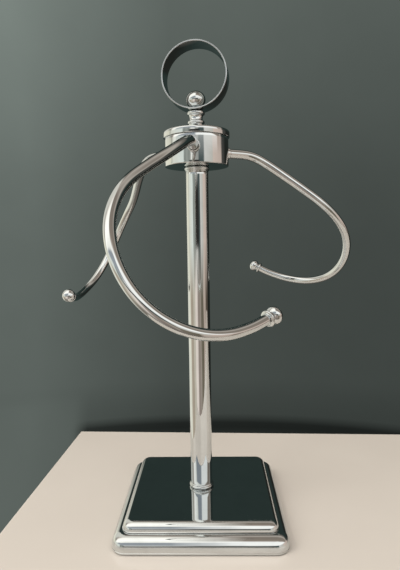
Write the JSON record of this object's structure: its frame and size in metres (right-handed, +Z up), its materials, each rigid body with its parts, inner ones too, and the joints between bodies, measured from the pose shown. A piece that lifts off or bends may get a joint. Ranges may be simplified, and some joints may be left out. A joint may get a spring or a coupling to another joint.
{
  "type": "valet stand",
  "caption": "Free-standing valet stand: two-tier square base, round post, drum hub with curved swivelling hook arms ending in knobs, and an upright band ring on top.",
  "frame": {"origin": "centre of the base's underside", "axes": "+Z up along the post; X and Y along the sides of the square base; -Y is the side one arm leaves towards"},
  "size_m": [0.3155, 0.336, 0.464],
  "materials": {
    "chrome": "mirror-polished chrome plate",
    "hardware": "plain zinc-grey steel",
    "iron": "rough black casting",
    "pad": "matt black rubber sheet"
  },
  "bodies": {
    "stand": {"base_pad": "pad", "ballast_slab": "iron", "lower_plate": "chrome", "upper_plate": "chrome", "base_washer": "hardware", "base_nut": "hardware", "tie_rod": "hardware", "post_tube": "chrome", "bottom_collar": "chrome", "top_collar": "chrome", "hub_body": "chrome", "top_washer": "hardware", "coupling_nut": "hardware", "hub_lid": "chrome", "finial_neck": "chrome", "finial_stud": "hardware", "finial_ball": "chrome", "ferrule_a": "chrome", "ferrule_b": "chrome", "ferrule_c": "chrome"},
    "ring": {"top_ring": "chrome"},
    "arm_a": {"arm_a": "chrome", "knob_collar_a": "chrome", "knob_ball_a": "chrome", "stub_washer_a": "hardware", "stub_nut_a": "hardware"},
    "arm_b": {"arm_b": "chrome", "knob_collar_b": "chrome", "knob_ball_b": "chrome", "stub_washer_b": "hardware", "stub_nut_b": "hardware"},
    "arm_c": {"arm_c": "chrome", "knob_collar_c": "chrome", "knob_ball_c": "chrome", "stub_washer_c": "hardware", "stub_nut_c": "hardware"}
  },
  "joints": [
    {"name": "ring_swivel", "type": "hinge", "parent": "stand", "child": "ring", "pos_m": [0, 0, 0.4328], "axis": [0, 0, 1], "continuous": true},
    {"name": "arm_a_swivel", "type": "hinge", "parent": "stand", "child": "arm_a", "pos_m": [-0.00173, -0.03095, 0.363], "axis": [-0.0558, -0.9984, 0], "range_deg": [-30, 30]},
    {"name": "arm_b_swivel", "type": "hinge", "parent": "stand", "child": "arm_b", "pos_m": [0.02767, 0.01398, 0.363], "axis": [0.8926, 0.4509, 0], "range_deg": [-30, 30]},
    {"name": "arm_c_swivel", "type": "hinge", "parent": "stand", "child": "arm_c", "pos_m": [-0.02594, 0.01697, 0.363], "axis": [-0.8368, 0.5476, 0], "range_deg": [-30, 30]}
  ]
}
